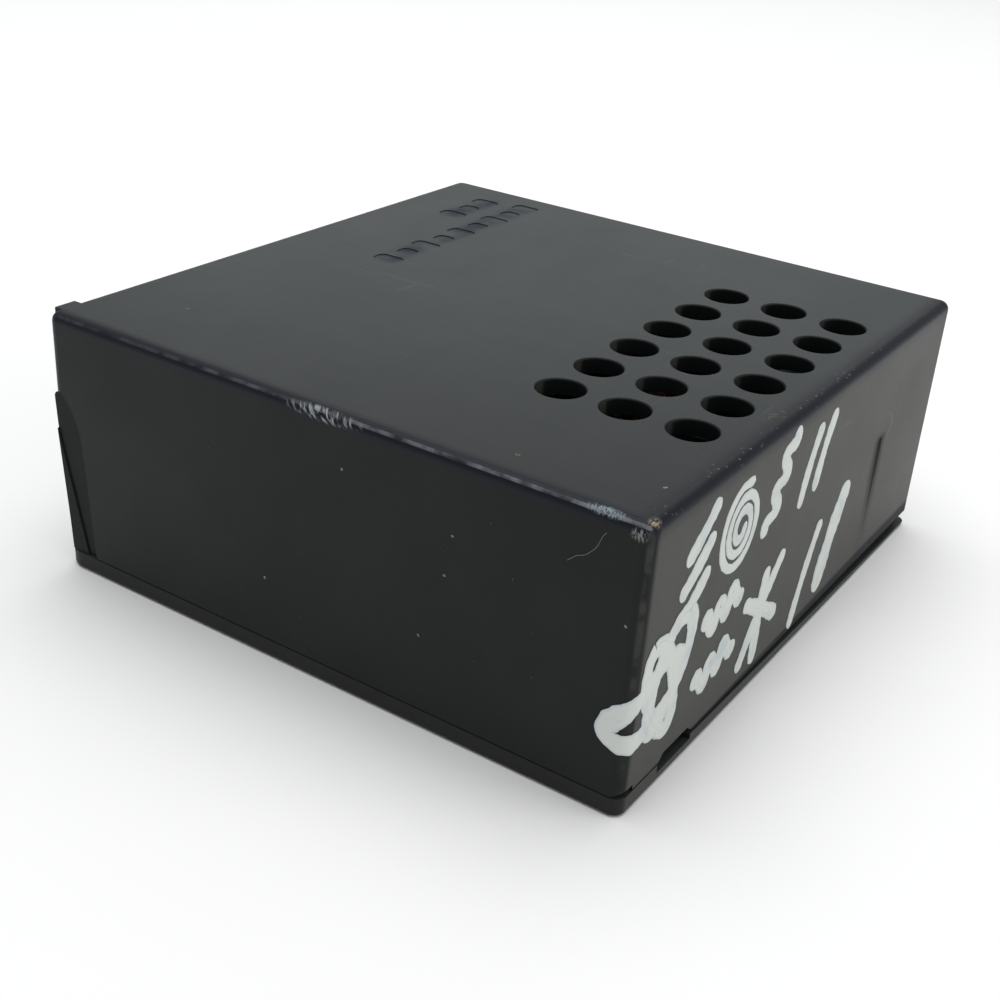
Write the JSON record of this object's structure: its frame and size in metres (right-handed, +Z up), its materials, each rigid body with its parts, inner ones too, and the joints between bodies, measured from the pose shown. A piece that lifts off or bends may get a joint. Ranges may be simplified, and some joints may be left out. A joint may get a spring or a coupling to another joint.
{
  "type": "boxed single board controller",
  "caption": "Black moulded box with round roof vents and a lift-off cover over a tray that carries one circuit board, with two wiring sockets in one end.",
  "frame": {"origin": "centre of the tray's flat underside", "axes": "+Z up out of the roof, -X out of the end with the wiring sockets, +X out of the closed, vented end"},
  "size_m": [0.101, 0.1032, 0.0416],
  "materials": {
    "shell_plastic": "scuffed satin black moulding",
    "board_laminate": "green solder mask on glass laminate",
    "steel": "zinc plated",
    "tinned_metal": "tinned",
    "black_plastic": "moulded",
    "ivory_plastic": "moulded",
    "chip_epoxy": "moulded epoxy",
    "aluminium": "bare",
    "sink_aluminium": "black anodised",
    "sleeve_blue": "shrink sleeve",
    "film_yellow": "moulded box",
    "disc_tan": "dipped coating",
    "surge_blue": "dipped coating",
    "resistor_body": "lacquered",
    "diode_body": "moulded epoxy",
    "ferrite": "coated ferrite",
    "copper": "enamelled copper",
    "brass": "plated",
    "paint_mark": "white paint-pen"
  },
  "bodies": {
    "base": {"base_tray": "shell_plastic", "circuit_board": "board_laminate", "board_screws": "steel", "main_socket_shroud": "black_plastic", "main_socket_contacts": "tinned_metal", "power_socket_shroud": "ivory_plastic", "power_socket_blades": "brass", "processor_socket": "black_plastic", "processor": "chip_epoxy", "processor_leads": "tinned_metal", "driver_chips": "chip_epoxy", "memory_chip": "chip_epoxy", "small_chip_leads": "tinned_metal", "crystal_can": "tinned_metal", "heat_sink": "sink_aluminium", "device_tabs": "tinned_metal", "power_devices": "chip_epoxy", "device_leads": "tinned_metal", "device_bolts": "steel", "device_nuts": "steel", "large_capacitor_cans": "aluminium", "large_capacitor_sleeves": "sleeve_blue", "small_capacitor_cans": "aluminium", "small_capacitor_sleeves": "sleeve_blue", "film_capacitors": "film_yellow", "ceramic_capacitors": "disc_tan", "surge_disc": "surge_blue", "disc_leads": "tinned_metal", "resistors": "resistor_body", "diodes": "diode_body", "axial_part_leads": "tinned_metal", "transistors": "chip_epoxy", "transistor_leads": "tinned_metal", "choke_core": "ferrite", "choke_winding": "copper", "relay_bases": "black_plastic", "relay_bobbins": "ivory_plastic", "relay_coils": "copper", "relay_cores": "steel", "relay_yokes": "steel", "relay_contact_posts": "brass", "reset_button_body": "black_plastic", "reset_button_plate": "steel", "trimmer_body": "surge_blue"},
    "cover": {"cover": "shell_plastic"},
    "armature_a": {"relay_armature_a": "steel"},
    "armature_b": {"relay_armature_b": "steel"},
    "plunger": {"reset_button_plunger": "ivory_plastic"},
    "rotor": {"trimmer_rotor": "ivory_plastic"}
  },
  "joints": [
    {"name": "cover_lift", "type": "slide", "parent": "base", "child": "cover", "axis": [0, 0, 1], "range_m": [0, 0.06]},
    {"name": "armature_a_pull_in", "type": "hinge", "parent": "base", "child": "armature_a", "pos_m": [-0.0253, 0.034, 0.0266], "axis": [0, 1, 0], "range_deg": [0, 5], "stiffness_Nm_per_rad": 0.005, "springref_deg": -11.46},
    {"name": "armature_b_pull_in", "type": "hinge", "parent": "base", "child": "armature_b", "pos_m": [-0.0013, 0.034, 0.0266], "axis": [0, 1, 0], "range_deg": [0, 5], "stiffness_Nm_per_rad": 0.005, "springref_deg": -11.46},
    {"name": "reset_press", "type": "slide", "parent": "base", "child": "plunger", "axis": [0, 0, -1], "range_m": [0, 0.0005], "stiffness_N_per_m": 400, "springref_m": -0.0002},
    {"name": "trimmer_turn", "type": "hinge", "parent": "base", "child": "rotor", "pos_m": [-0.0086, 0.022, 0.0136], "axis": [0, 0, 1], "range_deg": [-135, 135]}
  ]
}
